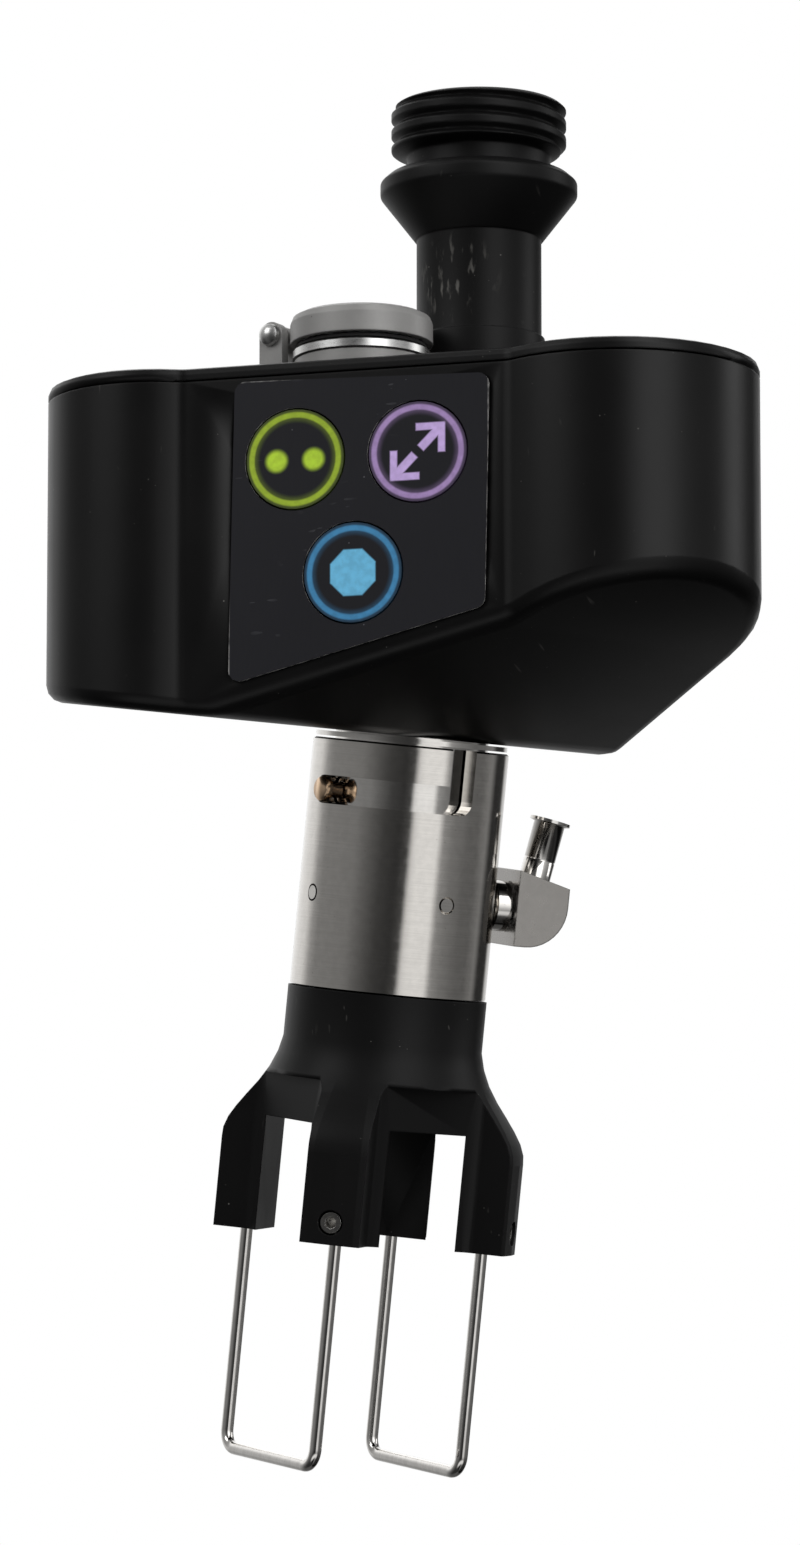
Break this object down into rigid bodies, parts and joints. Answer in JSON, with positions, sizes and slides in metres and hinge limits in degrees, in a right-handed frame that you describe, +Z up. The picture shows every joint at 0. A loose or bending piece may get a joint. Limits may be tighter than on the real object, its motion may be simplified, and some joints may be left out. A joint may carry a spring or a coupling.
{
  "type": "beam scanner handpiece",
  "caption": "Beam scanner handpiece: lobed black housing with keypad and threaded arm tube, capped socket, tilted steel bayonet sleeve, gas nozzle, legged crown and wire distance loops.",
  "frame": {"origin": "centre of the arm tube's top end face", "axes": "+Z up along the arm tube, -Y out of the keypad panel, +X to the right seen facing the keypad"},
  "size_m": [0.1176, 0.0873, 0.2231],
  "materials": {
    "black_anodised": "matte black anodised",
    "keypad_film": "matte film",
    "grey_cast": "satin grey",
    "bright_steel": "polished",
    "brushed_steel": "brushed",
    "dark_steel": "blackened",
    "brass": "polished",
    "black_rubber": "matte",
    "black_plastic": "matte",
    "lens_glass": "polished",
    "mirror_glass": "polished",
    "circuit_board": "satin"
  },
  "bodies": {
    "housing": {"housing_shell": "black_anodised", "housing_cover": "black_anodised", "cover_screw_1": "dark_steel", "cover_screw_2": "dark_steel", "cover_screw_3": "dark_steel", "cover_screw_4": "dark_steel", "arm_tube": "black_anodised", "socket_body": "grey_cast", "socket_ring": "bright_steel", "socket_seal": "black_rubber", "socket_insert": "black_plastic", "hinge_bracket": "grey_cast", "hinge_pin": "bright_steel", "keypad_label": "keypad_film", "keypad_board": "circuit_board", "driver_board": "circuit_board", "spigot": "bright_steel", "spigot_nut": "dark_steel", "bayonet_pin": "brass", "scan_motor_x": "dark_steel", "scan_motor_y": "dark_steel", "motor_bracket": "grey_cast", "fold_mirror": "mirror_glass"},
    "cap": {"socket_cap": "grey_cast"},
    "key_dots": {"key_dots": "keypad_film"},
    "key_arrows": {"key_arrows": "keypad_film"},
    "key_stop": {"key_stop": "keypad_film"},
    "mirror_x": {"scan_mirror_x": "mirror_glass"},
    "mirror_y": {"scan_mirror_y": "mirror_glass"},
    "nose": {"sleeve": "brushed_steel", "sleeve_plug_1": "bright_steel", "sleeve_plug_2": "bright_steel", "sleeve_plug_3": "bright_steel", "focus_lens": "lens_glass", "lens_ring": "dark_steel", "nozzle_stem": "bright_steel", "crown": "black_anodised", "wire_screw_front": "bright_steel", "wire_screw_right": "bright_steel", "wire_screw_back": "bright_steel", "wire_screw_left": "bright_steel", "wire_loop_left": "bright_steel", "wire_loop_right": "bright_steel"},
    "nozzle": {"nozzle_elbow": "brushed_steel", "hose_barb": "bright_steel"}
  },
  "joints": [
    {"name": "nose_twist", "type": "hinge", "parent": "housing", "child": "nose", "pos_m": [-0.0158, 0.014, -0.10367], "axis": [-0.1434, 0.1434, -0.9792], "range_deg": [0, 90]},
    {"name": "nozzle_swivel", "type": "hinge", "parent": "nose", "child": "nozzle", "pos_m": [-0.01939, 0.01759, -0.12815], "axis": [0.8067, 0.5901, -0.0317], "range_deg": [-90, 90]},
    {"name": "cap_hinge", "type": "hinge", "parent": "housing", "child": "cap", "pos_m": [-0.02931, -0.01361, -0.0404], "axis": [-0.2756, -0.9613, 0], "range_deg": [0, 110]},
    {"name": "mirror_x_turn", "type": "hinge", "parent": "housing", "child": "mirror_x", "pos_m": [0, 0, -0.075], "axis": [0, 1, 0], "range_deg": [-10, 10]},
    {"name": "mirror_y_turn", "type": "hinge", "parent": "housing", "child": "mirror_y", "pos_m": [-0.012, 0, -0.075], "axis": [0, 0, 1], "range_deg": [-10, 10]},
    {"name": "key_dots_press", "type": "slide", "parent": "housing", "child": "key_dots", "axis": [0, 1, 0], "range_m": [0, 0.0005], "stiffness_N_per_m": 800, "springref_m": -0.0002},
    {"name": "key_arrows_press", "type": "slide", "parent": "housing", "child": "key_arrows", "axis": [0, 1, 0], "range_m": [0, 0.0005], "stiffness_N_per_m": 800, "springref_m": -0.0002},
    {"name": "key_stop_press", "type": "slide", "parent": "housing", "child": "key_stop", "axis": [0, 1, 0], "range_m": [0, 0.0005], "stiffness_N_per_m": 800, "springref_m": -0.0002}
  ]
}
